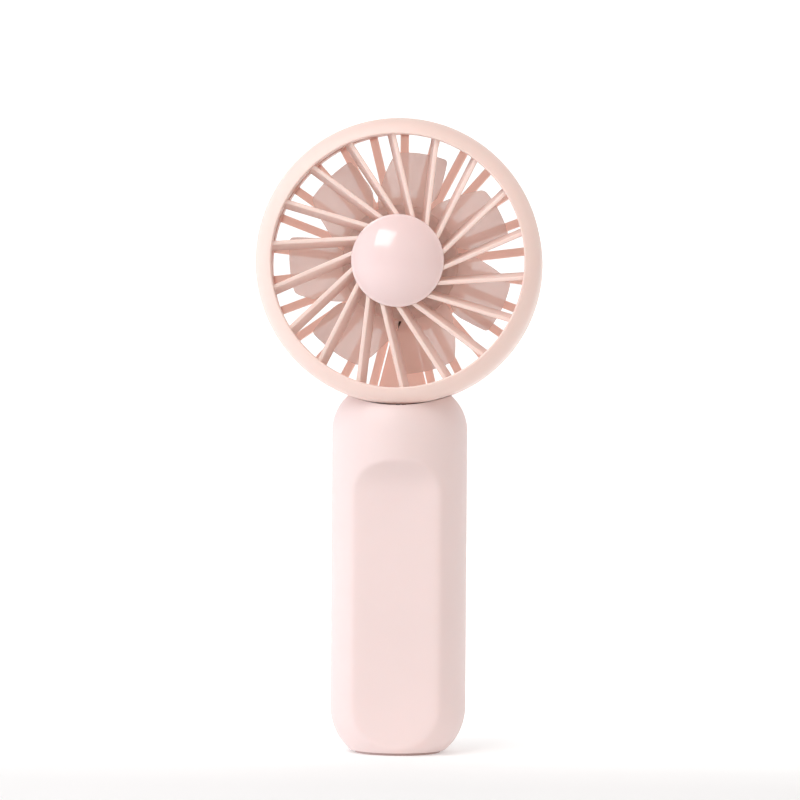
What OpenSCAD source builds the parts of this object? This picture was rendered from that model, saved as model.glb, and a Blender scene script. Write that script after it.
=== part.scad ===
// Handheld electric fan: a round fan head on a thick round handle that stands on its base.
// Millimetres, +Z up. The origin is the centre of the foot pad's underside.
// The grille faces -Y, and +X is on the right when the grille is looked at.

/* [Handle] */
// Radius of the round handle
handle_r = 20; // [19:0.5:21]
// Height at which the handle's straight side ends and the shoulder begins
shoulder_z = 95; // [94.5:0.1:95.5]
// Radius of the shoulder curve
shoulder_r = 13.7; // [13.5:0.1:14]
// Radius of the curve between the side and the base
heel_r = 17; // [16.5:0.5:17]
// Height at which the base curve meets the straight side
heel_z = 13.6; // [13.4:0.1:13.8]
// Wall thickness of the two handle shells
shell_wall = 1.8; // [1.6:0.1:1.8]
// Distance of the flat thumb face from the handle's axis
flat_d = 15.5; // [15.4:0.1:15.6]
// Height at which the thumb face begins to curve out to the round side
flat_top_z = 76.5; // [75:0.5:78]
// Radius of the scoop that ends the thumb face
scoop_r = 12.9; // [12:0.1:14]

/* [Head] */
// Height of the fan's axis above the base
head_z = 144.5; // [144:0.1:145]
// Outer radius of the head
head_r = 41.8; // [41.6:0.1:42]
// Radius of the round opening in the front ring
opening_r = 36.8; // [36.6:0.1:36.8]
// Distance of the front ring's foremost edge from the handle's axis
front_w = 21; // [20.8:0.1:21]
// Distance of the head's back face from the handle's axis
back_w = 18.5; // [18.4:0.1:18.6]
// Number of slanted vanes in the front grille
vane_count = 18; // [12:1:20]
// Width of a vane's front edge
vane_t = 1.25; // [1:0.05:1.4]
// Depth of a vane from front to back
vane_depth = 7; // [6:0.5:7]
// Radius of the glossy dome in the middle of the grille
dome_r = 13.5; // [13.3:0.1:13.7]
// Height of the dome
dome_h = 6.5; // [5.5:0.5:7]
// Number of ribs in the rear grille
rib_count = 26; // [20:1:30]
// Width of a rear rib
rib_t = 2.5; // [2.2:0.1:2.8]

/* [Impeller] */
// Number of blades
blade_count = 7; // [5:1:7]
// Radius at the blade tips
tip_r = 32.9; // [31:0.1:33.5]
// Outer radius of the impeller's hub
hub_r = 17; // [16.8:0.1:17.2]
// Thickness of a blade
blade_t = 1.1; // [1:0.1:1.4]
// Angle between a blade's chord and the plane of rotation
blade_pitch = 30.3; // [28:0.1:32]
// Radius of a blade's camber
camber_r = 30; // [28:1:40]

/* [Motor] */
// Radius of the motor shaft
shaft_r = 1; // [0.9:0.05:1]
// Radial running clearance between the shaft and its bushes
shaft_gap = 0.03; // [0.02:0.01:0.05]
// Number of stator teeth
tooth_count = 9; // [6:3:9]
// Outer radius of the stator
stator_r = 9.4; // [9.2:0.1:9.4]
// Outer radius of the steel rotor cup
rotor_r = 12; // [12:0.1:12.2]

/* [Battery and board] */
// Radius of the lithium cell
cell_r = 9.1; // [8.8:0.1:9.1]
// Length of the lithium cell
cell_h = 65; // [60:1:65]
// Thickness of the main circuit board
board_t = 1.2; // [1:0.1:1.2]
// Radius of the power button
button_r = 4.5; // [4:0.1:5]
// How far the power button stands out of the rear flat
button_proud = 0.8; // [0.5:0.1:1]

/* [Hidden] */
$fn = 96;

// Colours
shell_pink = [0.97, 0.88, 0.88];
grille_pink = [0.95, 0.83, 0.80];
blade_pink = [0.90, 0.76, 0.72];
steel = [0.72, 0.72, 0.74];
bronze = [0.72, 0.53, 0.32];
copper = [0.78, 0.42, 0.22];
board_green = [0.12, 0.42, 0.25];
dark = [0.16, 0.16, 0.17];

// Gap left around pieces that fit into one another
fit_gap = 0.15;
// Small overlap that joins the solids of one piece
bite = 0.3;
far = 60;

// ---- Head: fan axis lengths are called w and grow from the handle's axis to the front ----

// Round of the front ring, and the split between ring and drum
ring_round = 6.5;
drum_front_w = 8;
// The opening's wall runs straight back to lip_w, then flares out to flare_r at the ring's back
lip_w = 17.5;
flare_r = 38.4;
// Groove in the ring's back that takes the drum's tongue
groove_in_r = 39.3;
groove_out_r = 40.6;
groove_w = 16;
// Round of the rear ring, and the split between drum and rear ring
back_round = 6;
drum_back_w = -11.5;
drum_in_r = 39.3;
tongue_h = 3;
// Tongue on the rear ring, and the rebate in the drum that takes it
rear_tongue_r = 40.3;
// Snap hooks on the front ring, and the drum's recesses that they catch in
hook_count = 6;
hook_span = 9;
hook_in_r = 38.2;
hook_out_r = 39.15;
hook_back_w = 3.4;
barb_r = 39.85;
catch_r = 40.05;
catch_front_w = 6;
// Front vanes: the inner end lags the outer end by vane_lag, and the back edge leans inwards
vane_w = 19.2;
vane_phase = 12.3;
vane_lag = 21;
vane_lean = 1.5;
boss_r = 13.2;
boss_t = 1.4;
// Dome
dome_w = 19.3;
dome_t = 1.2;
dome_curve = (dome_r * dome_r + dome_h * dome_h) / (2 * dome_h);
// Rear grille
rib_front_w = -14.5;
rib_back_w = -18;
rib_in_r = 19.5;
rib_phase = 6.8;
plate_r = 20.5;
plate_t = 2.3;
// Wire duct at the bottom of the rear grille: half widths at its two ends
duct_in_r = 20;
duct_out_r = 39.6;
duct_in_half = 3;
duct_out_half = 7.9;
duct_wall = 1.2;
duct_hollow_r = 38.4;
duct_top_w = -13.2;
duct_cover_t = 1;
// Rear screws, on both sides of the duct
rear_screw_angles = [250, 290];
rear_screw_ring = 39.2;
rear_screw_r = 0.85;
rear_head_r = 1.6;
rear_seat_w = -14;
rear_screw_tip_w = -3;
screw_boss_r = 2.2;
screw_boss_front_w = -1.5;
// Wire hole through the drum and the saddle
wire_hole_y = 5.5;
wire_hole_r = 2.2;

// ---- Motor ----
mount_back_w = plate_t - back_w;
mount_t = 2;
mount_top_w = mount_back_w + mount_t;
mount_r = 13.2;
tube_in_r = 3;
tube_out_r = 4.2;
tube_top_w = -1.5;
mount_screw_count = 3;
mount_screw_ring = 11.2;
bush_l = 3;
rear_bush_w = -14.5;
front_bush_w = -5;
shaft_back_w = -15.6;
shaft_front_w = 6;
clip_w = -14.9;
clip_t = 0.2;
clip_r = 2;
clip_groove_r = 0.8;
stator_back_w = -10.5;
stator_l = 7;
tooth_t = 1.6;
yoke_r = 5.6;
shoe_t = 1;
coil_t = 0.9;
motor_board_w = -13.6;
motor_board_t = 1;
motor_board_r = 9;
magnet_in_r = stator_r + 0.4;
cup_wall = 0.8;
magnet_out_r = rotor_r - cup_wall;
cup_back_w = -11.5;
cup_front_w = 1;
magnet_back_w = -11;
magnet_l = 8.5;

// ---- Impeller ----
hub_front_w = 8;
hub_back_w = -10;
hub_wall = 1.4;
hub_front_t = 1.5;
hub_round = 3;
sleeve_t = 1.2;
sleeve_back_w = -8;
hub_boss_r = 3;
// Blade outline seen from the front, as pairs of radius and angle, tip arc left out
blade_low_edge = [[16.5, 16], [18.5, 13], [21.5, 8.4], [26.5, 10.6], [tip_r + 1, 13.6]];
blade_high_edge = [[tip_r + 1, 41], [28.9, 47], [25.7, 51], [20.4, 59.5], [16.5, 63]];
blade_mid_angle = 33;
blade_chord = 23.75;
blade_mid_w = 2.5;

// ---- Handle ----
foot_t = 0.8;
foot_r = 12.6;
shell_floor_z = 2.5;
base_hole_r = 11.4;
base_plate_top_z = 4.2;
base_flange_r = 13;
lip_t = 0.8;
lip_h = 1.4;
lip_gap = 0.05;
// Plate that ties both shells under the head
neck_plate_z = 96.9;
neck_plate_t = 1.7;
neck_plate_r = 17.2;
neck_post_z = 101;
neck_post_r = 2.6;
neck_screw_x = 8;
neck_seat_z = head_z - 39.5;
neck_screw_tip_z = 97.4;
shelf_r = 15.4;
shelf_t = 1.5;
// Small M2 screws
screw_r = 1;
head_screw_r = 1.8;
head_screw_t = 1.2;
// Base screws and the bosses they hold
base_screw_y = 7;
base_screw_tip_z = 9.5;
base_boss_top_z = 11;
base_boss_r = 2.8;
web_t = 1.6;

// ---- Inside the handle ----
cell_y = -3;
cell_z = 17;
tab_w = 6;
tab_l = 14;
tab_t = 0.3;
cradle_t = 1.6;
cradle_front_y = -4;
cradle_z = [30, 66];
stop_y = -7;
foam_w = 12;
foam_h = 30;
foam_t = 1.4;
foam_z = 34;
board_y = 7.6;
board_back_y = board_y + board_t;
board_w = 19;
board_z = 13;
board_h = 63;
board_screw_x = 7.3;
board_screw_z = [29, 71];
board_post_r = 2.2;
board_screw_r = 0.85;
board_head_r = 1.5;
board_head_t = 1;
// USB-C socket, standing on the board with its mouth in the rear flat
usb_z = 20;
usb_mouth_y = flat_d - 0.3;
usb_w = 8.94;
usb_h = 3.2;
usb_wall = 0.3;
usb_tongue_w = 6.7;
usb_tongue_t = 0.7;
usb_floor_t = 1;
// Tact switch and power button
button_z = 56;
switch_size = 6;
switch_top_y = 12;
plunger_r = 1.7;
plunger_gap = 0.15;
plunger_well = 1.8;
plunger_top_y = 12.7;
button_flange_r = 5.8;
button_flange_t = 0.7;
button_gap = 0.3;
button_round = 0.8;
// Charge lights
led_count = 4;
led_pitch = 3;
led_z = 68;
led_size = [0.8, 0.7, 1.6];
guide_pin_r = 0.6;
guide_gap = 0.1;
guide_bar = [12, 1.2, 2.4];
guide_y = flat_d - shell_wall - guide_bar.y - 0.1;
// Wires: radius, sides of the tube, and the points each route passes through
wire_r = 0.6;
wire_sides = 8;
wire_steps = 4;
motor_wire_route = [
    [11.95, 135.8], [12.25, 134.6], [13.1, 133], [13.4, 131.6], [14.4, 129.6], [15, 126], [15, 110.5],
    [14.2, 107.6], [12.7, 106.9], [10.5, 106.2], [7.6, 106], [5.7, 104.4], [5.5, 101], [5.9, 94],
    [7, 86], [7, 79], [7, 73]
];
plus_wire_route = [[3, 1, 83.5], [3.4, 4, 85], [4, 6.6, 83.6], [4, 7, 79], [4, 7, 72]];
minus_wire_route = [[-3, 1, 15.5], [-3.4, 4, 14.6], [-4, 6.6, 16.6], [-4, 7, 20], [-4, 7, 26]];

// ======== Helpers ========

// Head frame: x to the right, y up and z to the front of the fan axis
module on_head() {
    translate([0, 0, head_z]) rotate([90, 0, 0]) children();
}

// Ring about the fan axis between two radii and two depths
module ring(r_in, r_out, w_low, w_high) {
    translate([0, 0, w_low]) difference() {
        cylinder(r = r_out, h = w_high - w_low);
        translate([0, 0, -1]) cylinder(r = r_in, h = w_high - w_low + 2);
    }
}

module disc(r, w_low, w_high) {
    translate([0, 0, w_low]) cylinder(r = r, h = w_high - w_low);
}

module around(count, phase = 0) {
    for (i = [0 : count - 1]) rotate([0, 0, phase + 360 * i / count]) children();
}

// Triangle with its point at the origin, centred on the x axis
module wedge(span) {
    edge = far * [cos(span / 2), sin(span / 2)];
    polygon([[0, 0], [edge.x, -edge.y], edge]);
}

// Screw along +z with its head's seat at z = 0 and its head below
module screw(r, length, head_r, head_t) {
    socket_r = head_r * 0.5;
    difference() {
        union() {
            cylinder(r = r, h = length);
            translate([0, 0, -head_t]) cylinder(r = head_r, h = head_t);
        }
        translate([0, 0, -head_t - 1]) cylinder(r = socket_r, h = 1 + head_t / 2, $fn = 6);
    }
}

// Outer form of the head grown by a gap, for the saddle that it rests in
module head_form(gap) {
    on_head() rotate_extrude() {
        translate([0, -back_w - gap]) square([head_r - back_round, back_w + front_w + 2 * gap]);
        translate([0, -back_w + back_round])
            square([head_r + gap, back_w - back_round + front_w - ring_round]);
        translate([head_r - back_round, -back_w + back_round]) intersection() {
            circle(back_round + gap);
            square(4 * back_round, center = true);
        }
        translate([head_r - ring_round, front_w - ring_round]) circle(ring_round + gap);
    }
}

// Handle as a body of revolution, drawn in by an inset
module handle_round(inset) {
    rotate_extrude() intersection() {
        translate([0, -far]) square([far, 4 * far]);
        union() {
            translate([0, heel_z]) square([handle_r - inset, shoulder_z - heel_z]);
            translate([0, heel_z - heel_r + inset])
                square([handle_r - heel_r, heel_r + 1]);
            translate([0, shoulder_z - 1])
                square([handle_r - shoulder_r, shoulder_r - inset + 1]);
            translate([handle_r - heel_r, heel_z]) circle(heel_r - inset);
            translate([handle_r - shoulder_r, shoulder_z]) circle(shoulder_r - inset);
        }
    }
}

// Space in front of the thumb face, with the scoop at its top
module flat_space(inset) {
    plane_y = -(flat_d - inset);
    translate([-far, plane_y - far, -far]) cube([2 * far, far, far + flat_top_z]);
    translate([-far, -flat_d - scoop_r, flat_top_z])
        rotate([0, 90, 0]) cylinder(r = scoop_r + inset, h = 2 * far);
}

// Handle form with the thumb face in front and its twin at the back
module handle_form(inset) {
    difference() {
        handle_round(inset);
        flat_space(inset);
        mirror([0, 1, 0]) flat_space(inset);
    }
}

// Handle's hollow: closed by a saddle wall under the head and by a floor above the base
module handle_hollow() {
    difference() {
        intersection() {
            handle_form(shell_wall);
            translate([-far, -far, shell_floor_z]) cube([2 * far, 2 * far, 2 * far]);
        }
        head_form(shell_wall + fit_gap);
    }
}

// Walls of both shells in one
module handle_walls() {
    difference() {
        intersection() {
            handle_form(0);
            translate([-far, -far, foot_t]) cube([2 * far, 2 * far, 3 * far]);
        }
        handle_hollow();
        head_form(fit_gap);
        cylinder(r = base_hole_r, h = shell_floor_z + 1);
        for (side = [-1, 1]) translate([side * neck_screw_x, 0, 0])
            translate([0, 0, shoulder_z]) cylinder(r = screw_r + fit_gap, h = far);
    }
}

module half_space(side) {
    translate([-far, side > 0 ? 0 : -2 * far, -far]) cube([2 * far, 2 * far, 5 * far]);
}

// Shelf under the neck plate
module neck_shelf() {
    difference() {
        intersection() {
            handle_form(shell_wall - bite);
            translate([-far, -far, neck_plate_z - shelf_t - 0.1]) cube([2 * far, 2 * far, shelf_t]);
        }
        cylinder(r = shelf_r, h = 2 * far);
    }
}

// Boss for a base screw, tied to the shell's flat wall by a web
module base_boss(side) {
    y = side * base_screw_y;
    wall_y = side * (flat_d - shell_wall + bite);
    translate([0, y, base_plate_top_z]) cylinder(r = base_boss_r, h = base_boss_top_z - base_plate_top_z);
    translate([-web_t / 2, min(y + side * 2, wall_y), base_plate_top_z + 1])
        cube([web_t, abs(wall_y - y - side * 2), base_boss_top_z - base_plate_top_z - 1]);
}

module base_screw_hole(side) {
    translate([0, side * base_screw_y, 0]) cylinder(r = screw_r, h = base_screw_tip_z);
}

// Smooth curve through a route's points
function on_curve(p0, p1, p2, p3, t) = 0.5 * (2 * p1 + (p2 - p0) * t
    + (2 * p0 - 5 * p1 + 4 * p2 - p3) * t * t + (3 * p1 - p0 - 3 * p2 + p3) * t * t * t);
function smooth_route(p) = let (last = len(p) - 1) [
    for (i = [0 : last - 1], k = [0 : wire_steps - 1])
        on_curve(p[max(i - 1, 0)], p[i], p[i + 1], p[min(i + 2, last)], k / wire_steps),
    p[last]
];
function unit(v) = v / norm(v);
function wire_ring(c, t) = let (u = unit(cross(t, [1, 0, 0])), v = cross(t, u))
    [for (k = [0 : wire_sides - 1]) let (a = 360 * k / wire_sides) c + wire_r * (cos(a) * u + sin(a) * v)];

// Round wire swept along a route
module wire(route) {
    p = smooth_route(route);
    last = len(p) - 1;
    rings = [for (i = [0 : last]) each wire_ring(p[i], unit(p[min(i + 1, last)] - p[max(i - 1, 0)]))];
    sides = [for (i = [0 : last - 1], k = [0 : wire_sides - 1])
        let (a = i * wire_sides + k, b = i * wire_sides + (k + 1) % wire_sides)
        [a, b, b + wire_sides, a + wire_sides]];
    ends = [
        [for (k = [wire_sides - 1 : -1 : 0]) k],
        [for (k = [0 : wire_sides - 1]) last * wire_sides + k]
    ];
    polyhedron(points = rings, faces = concat(sides, ends));
}

// ======== Head ========

// One slanted vane, from the ring to the central boss
module vane() {
    outer = opening_r * [cos(vane_phase), sin(vane_phase)];
    inner = dome_r * [cos(vane_phase - vane_lag), sin(vane_phase - vane_lag)];
    run = outer - inner;
    over = 3;
    translate([inner.x, inner.y, vane_w]) rotate([0, 0, atan2(run.y, run.x)])
        translate([-over, 0, 0]) rotate([90, 0, 90]) linear_extrude(norm(run) + 2 * over)
            polygon([
                [-vane_t / 2, 0], [vane_t / 2, 0],
                [vane_lean + vane_t / 2, -vane_depth], [vane_lean - vane_t / 2, -vane_depth]
            ]);
}

// Front ring with its vanes, central boss and snap hooks
module front_grille() {
    boss_back_w = vane_w - vane_depth - bite;
    color(grille_pink) on_head() {
        difference() {
            rotate_extrude() intersection() {
                translate([opening_r, drum_front_w]) square([head_r - opening_r, front_w - drum_front_w]);
                union() {
                    translate([head_r - ring_round, front_w - ring_round]) circle(ring_round);
                    translate([opening_r, 0]) square([head_r - opening_r, front_w - ring_round]);
                }
                polygon([
                    [opening_r, front_w], [opening_r, lip_w], [flare_r, drum_front_w],
                    [head_r, drum_front_w], [head_r, front_w]
                ]);
            }
            ring(groove_in_r, groove_out_r, drum_front_w - 1, groove_w);
        }
        difference() {
            intersection() {
                around(vane_count) vane();
                disc(groove_in_r - 2 * bite, boss_back_w, vane_w + 1);
            }
            disc(boss_r - 2 * bite, boss_back_w - 1, vane_w + 1);
        }
        rotate_extrude() translate([0, boss_back_w]) {
            square([boss_r, boss_t]);
            translate([boss_r - boss_t, 0]) square([boss_t, dome_w - boss_back_w]);
        }
        around(hook_count, 180 / hook_count) snap_hook();
    }
}

// Hook that catches in a recess of the drum
module snap_hook() {
    barb_w = catch_front_w - 0.3;
    intersection() {
        rotate_extrude() polygon([
            [hook_in_r, hook_back_w], [hook_out_r, hook_back_w], [barb_r, barb_w],
            [hook_out_r, barb_w], [hook_out_r, drum_front_w + 2 * bite],
            [hook_in_r, drum_front_w + 2 * bite]
        ]);
        translate([0, 0, -far]) linear_extrude(2 * far) wedge(hook_span);
    }
}

// Children placed at each rear screw
module at_rear_screws() {
    for (angle = rear_screw_angles) rotate([0, 0, angle]) translate([rear_screw_ring, 0, 0]) children();
}

// Glossy dome with a spigot that plugs into the grille's boss
module dome_cap() {
    centre_w = dome_w + dome_h - dome_curve;
    spigot_r = boss_r - boss_t - 0.1;
    color([0.95, 0.85, 0.86]) on_head() {
        rotate_extrude() difference() {
            intersection() {
                translate([0, centre_w]) circle(dome_curve, $fn = 180);
                translate([0, dome_w]) square([dome_r, dome_h + 1]);
            }
            intersection() {
                translate([0, centre_w]) circle(dome_curve - dome_t, $fn = 180);
                translate([0, dome_w - 1]) square([dome_r, dome_h]);
            }
        }
        ring(spigot_r - 1.2, spigot_r, dome_w - 3, dome_w + dome_t);
    }
}

// Drum wall behind the front ring, with its tongue, rebate, hook recesses, screw bosses and seats
module drum_housing() {
    rebate_w = drum_back_w + tongue_h + 0.1;
    color(shell_pink) difference() {
        on_head() {
            difference() {
                ring(drum_in_r, head_r, drum_back_w, drum_front_w);
                ring(drum_in_r - 1, rear_tongue_r + fit_gap, drum_back_w - 1, rebate_w);
                intersection() {
                    ring(drum_in_r - 1, catch_r, hook_back_w - 0.5, catch_front_w);
                    around(hook_count, 180 / hook_count) translate([0, 0, -far])
                        linear_extrude(2 * far) wedge(hook_span + 3);
                }
            }
            ring(groove_in_r + fit_gap, groove_out_r - fit_gap,
                drum_front_w - bite, drum_front_w + tongue_h);
            intersection() {
                at_rear_screws() disc(screw_boss_r, rebate_w + 0.1, screw_boss_front_w);
                disc(head_r - bite, drum_back_w, drum_front_w);
            }
        }
        on_head() at_rear_screws() disc(rear_screw_r, drum_back_w - 1, rear_screw_tip_w);
        for (side = [-1, 1]) translate([side * neck_screw_x, 0, 0]) {
            translate([0, 0, shoulder_z]) cylinder(r = screw_r + fit_gap, h = far / 2);
            translate([0, 0, neck_seat_z]) cylinder(r = head_screw_r + fit_gap, h = 3);
        }
        translate([0, wire_hole_y, shoulder_z]) cylinder(r = wire_hole_r, h = far / 3);
    }
}

// Wedge that widens from the hub to the rim at the bottom of the head
module duct_wedge(grow, w_low, w_high) {
    translate([0, 0, w_low]) linear_extrude(w_high - w_low) polygon([
        [-duct_in_half - grow, -duct_in_r], [-duct_out_half - grow, -duct_out_r],
        [duct_out_half + grow, -duct_out_r], [duct_in_half + grow, -duct_in_r]
    ]);
}

// Rear ring, ribs, hub plate and wire duct
module rear_grille() {
    color(grille_pink) on_head() difference() {
        union() {
            intersection() {
                rotate_extrude() {
                    translate([0, -back_w]) square([head_r - back_round, back_w]);
                    translate([head_r - back_round, -back_w + back_round]) circle(back_round);
                }
                union() {
                    ring(drum_in_r, head_r + 1, -back_w - 1, drum_back_w);
                    around(rib_count, rib_phase) translate([rib_in_r, -rib_t / 2, rib_back_w])
                        cube([drum_in_r + 2 * bite - rib_in_r, rib_t, rib_front_w - rib_back_w]);
                    disc(plate_r, -back_w - 1, mount_back_w);
                    ring(plate_r - 1.2, plate_r, -back_w, rib_front_w - bite);
                    duct_wedge(0, -back_w - 1, duct_top_w);
                }
            }
            ring(drum_in_r, rear_tongue_r, drum_back_w - bite, drum_back_w + tongue_h);
            intersection() {
                at_rear_screws() disc(screw_boss_r, rib_front_w - 1, drum_back_w + tongue_h - 0.1);
                disc(rear_tongue_r - bite, -back_w, 0);
            }
        }
        intersection() {
            duct_wedge(-duct_wall, -back_w + duct_wall, duct_top_w + 1);
            disc(duct_hollow_r, -back_w, 0);
        }
        // Way for the wires from the plate into the duct
        translate([-1.8, -duct_in_r - 1, mount_back_w]) cube([3.6, 3, 10]);
        disc(clip_r + 1, -back_w + 1.3, 0);
        around(mount_screw_count, 90) translate([mount_screw_ring, 0, 0])
            disc(screw_r, -back_w + 0.8, 0);
        at_rear_screws() {
            disc(rear_screw_r + 0.1, -back_w - 1, 0);
            disc(rear_head_r + 0.1, -back_w - 1, rear_seat_w);
        }
    }
}

module rear_screws() {
    color(steel) on_head() at_rear_screws() translate([0, 0, rear_seat_w])
        screw(rear_screw_r, rear_screw_tip_w - rear_seat_w, rear_head_r, 1.1);
}

// Lid of the wire duct
module duct_cover() {
    color([0.90, 0.74, 0.70]) on_head() intersection() {
        duct_wedge(-0.1, duct_top_w, duct_top_w + duct_cover_t);
        disc(opening_r - 0.1, -back_w, drum_front_w);
    }
}

// ======== Motor ========

module motor_mount() {
    color(steel) on_head() difference() {
        union() {
            disc(mount_r, mount_back_w, mount_top_w);
            disc(tube_out_r, mount_back_w, tube_top_w);
        }
        disc(tube_in_r, mount_back_w - 1, tube_top_w + 1);
        around(mount_screw_count, 90) translate([mount_screw_ring, 0, 0])
            disc(screw_r + 0.1, mount_back_w - 1, mount_top_w + 1);
    }
}

module motor_mount_screws() {
    color(steel) on_head() around(mount_screw_count, 90)
        translate([mount_screw_ring, 0, mount_top_w]) mirror([0, 0, 1])
            screw(screw_r, mount_top_w + back_w - 1, 1.6, head_screw_t);
}

module bush(w) {
    color(bronze) on_head() ring(shaft_r + shaft_gap, tube_in_r, w, w + bush_l);
}

module rear_bush() {
    bush(rear_bush_w);
}

module front_bush() {
    bush(front_bush_w);
}

// Laminated core: a yoke on the tube, teeth, and a curved shoe on each tooth
module stator_core() {
    shoe_angle = 360 / tooth_count - 10;
    color([0.55, 0.55, 0.58]) on_head() translate([0, 0, stator_back_w]) linear_extrude(stator_l) {
        difference() {
            circle(yoke_r);
            circle(tube_out_r);
        }
        around(tooth_count) {
            translate([yoke_r - bite, -tooth_t / 2])
                square([stator_r - shoe_t / 2 - yoke_r + bite, tooth_t]);
            intersection() {
                difference() {
                    circle(stator_r);
                    circle(stator_r - shoe_t);
                }
                wedge(shoe_angle);
            }
        }
    }
}

// One copper coil around each tooth
module stator_windings() {
    coil_in_r = yoke_r + 0.5;
    coil_out_r = stator_r - shoe_t - 0.3;
    color(copper) on_head() around(tooth_count) difference() {
        translate([coil_in_r, -tooth_t / 2 - coil_t, stator_back_w - coil_t])
            cube([coil_out_r - coil_in_r, tooth_t + 2 * coil_t, stator_l + 2 * coil_t]);
        translate([coil_in_r - 1, -tooth_t / 2, stator_back_w])
            cube([coil_out_r - coil_in_r + 2, tooth_t, stator_l]);
    }
}

module motor_board() {
    color(board_green) on_head()
        ring(tube_out_r + 0.1, motor_board_r, motor_board_w, motor_board_w + motor_board_t);
}

// Shaft with the groove that its clip sits in
module motor_shaft() {
    color(steel) on_head() difference() {
        disc(shaft_r, shaft_back_w, shaft_front_w);
        ring(clip_groove_r, shaft_r + 1, clip_w, clip_w + clip_t);
    }
}

module shaft_clip() {
    color(dark) on_head() ring(clip_groove_r, clip_r, clip_w, clip_w + clip_t);
}

module magnet_ring() {
    color(dark) on_head()
        ring(magnet_in_r, magnet_out_r, magnet_back_w, magnet_back_w + magnet_l);
}

// Drawn steel cup that carries the magnets
module rotor_cup() {
    color([0.80, 0.80, 0.82]) on_head() difference() {
        union() {
            ring(magnet_out_r, rotor_r, cup_back_w, cup_front_w);
            disc(rotor_r - bite, cup_front_w - cup_wall, cup_front_w);
            disc(tube_in_r - 0.4, tube_top_w + 0.3, cup_front_w);
        }
        disc(shaft_r, cup_back_w, cup_front_w + 1);
    }
}

// ======== Impeller ========

function polar(p) = p[0] * [cos(p[1]), sin(p[1])];

// Blade: a cambered sheet, trimmed to its outline and to the tip circle
module blade() {
    chord_half = blade_chord / 2;
    centre_d = sqrt(camber_r * camber_r - chord_half * chord_half);
    camber_centre = [centre_d * sin(blade_pitch), blade_mid_w + centre_d * cos(blade_pitch)];
    difference() {
        intersection() {
            rotate([0, 0, blade_mid_angle]) rotate([90, 0, 90]) linear_extrude(tip_r + 2)
                translate(camber_centre) difference() {
                    circle(camber_r + blade_t / 2, $fn = 180);
                    circle(camber_r - blade_t / 2, $fn = 180);
                }
            translate([0, 0, hub_back_w]) linear_extrude(hub_front_w - hub_back_w + 4)
                polygon([for (p = concat(blade_low_edge, blade_high_edge)) polar(p)]);
            disc(tip_r, hub_back_w, hub_front_w + 4);
        }
        disc(hub_r - hub_wall / 2, hub_back_w - 1, hub_front_w + 5);
    }
}

// Hub cup, sleeve that grips the rotor cup, shaft boss and blades
module impeller() {
    plate_w = hub_front_w - hub_front_t;
    color(blade_pink) on_head() difference() {
        union() {
            rotate_extrude() intersection() {
                translate([0, -far]) square([hub_r, 2 * far]);
                translate([0, hub_back_w]) union() {
                    square([hub_r, hub_front_w - hub_back_w - hub_round]);
                    square([hub_r - hub_round, hub_front_w - hub_back_w]);
                    translate([hub_r - hub_round, hub_front_w - hub_back_w - hub_round])
                        circle(hub_round);
                }
            }
            around(blade_count) blade();
        }
        ring(rotor_r + sleeve_t, hub_r - hub_wall, hub_back_w - 1, plate_w - hub_round / 2);
        ring(hub_boss_r, rotor_r, cup_back_w - 1, plate_w);
        disc(rotor_r, cup_back_w - 1, cup_front_w);
        disc(rotor_r + 2 * sleeve_t, cup_back_w - 1, sleeve_back_w);
        disc(shaft_r, 0, shaft_front_w);
    }
}

// ======== Handle shells and what ties them together ========

// Plate held between the shells; its posts take the head's screws
module neck_plate() {
    color([0.86, 0.86, 0.84]) difference() {
        union() {
            translate([0, 0, neck_plate_z]) cylinder(r = neck_plate_r, h = neck_plate_t);
            for (side = [-1, 1]) translate([side * neck_screw_x, 0, neck_plate_z])
                cylinder(r = neck_post_r, h = neck_post_z - neck_plate_z);
        }
        for (side = [-1, 1]) translate([side * neck_screw_x, 0, neck_screw_tip_z])
            cylinder(r = screw_r, h = far);
        translate([0, wire_hole_y, neck_plate_z - 1]) cylinder(r = wire_hole_r + 1.5, h = far);
    }
}

module neck_screws() {
    color(steel) for (side = [-1, 1]) translate([side * neck_screw_x, 0, neck_seat_z])
        mirror([0, 0, 1]) screw(screw_r, neck_seat_z - neck_screw_tip_z, head_screw_r, head_screw_t);
}

// Ribs that cradle the cell and stop its ends
module cell_ribs() {
    stops_z = [cell_z - tab_t - cradle_t - 0.1, cell_z + cell_h + tab_t + 0.1];
    intersection() {
        handle_form(shell_wall - bite);
        union() {
            for (z = cradle_z) translate([-far, -far, z]) cube([2 * far, far + cradle_front_y, cradle_t]);
            for (z = stops_z) translate([-far, -far, z]) cube([2 * far, far + stop_y, cradle_t]);
        }
    }
}

module handle_front_shell() {
    color(shell_pink) difference() {
        union() {
            intersection() {
                handle_walls();
                half_space(-1);
            }
            intersection() {
                neck_shelf();
                half_space(-1);
            }
            difference() {
                cell_ribs();
                translate([0, cell_y, cell_z - tab_t]) cylinder(r = cell_r + 0.05, h = cell_h + 2 * tab_t);
            }
            base_boss(-1);
        }
        base_screw_hole(-1);
    }
}

// Inner lip of the rear shell that lines up the two shells
module shell_lip() {
    intersection() {
        difference() {
            handle_form(shell_wall + lip_gap);
            handle_form(shell_wall + lip_gap + lip_t);
        }
        translate([-far, -lip_h, heel_z]) cube([2 * far, lip_h + 0.01, shoulder_z - 3 - heel_z]);
    }
    intersection() {
        difference() {
            handle_form(shell_wall - bite);
            handle_form(shell_wall + lip_gap + lip_t);
        }
        translate([-far, 0, heel_z]) cube([2 * far, 1.5, shoulder_z - 3 - heel_z]);
    }
}

// Slot with round ends for the USB-C socket's mouth
module usb_outline(grow) {
    r = usb_h / 2 + grow;
    half = usb_w / 2 - usb_h / 2;
    square([2 * half, 2 * r], center = true);
    for (side = [-1, 1]) translate([side * half, 0]) circle(r);
}

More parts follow.
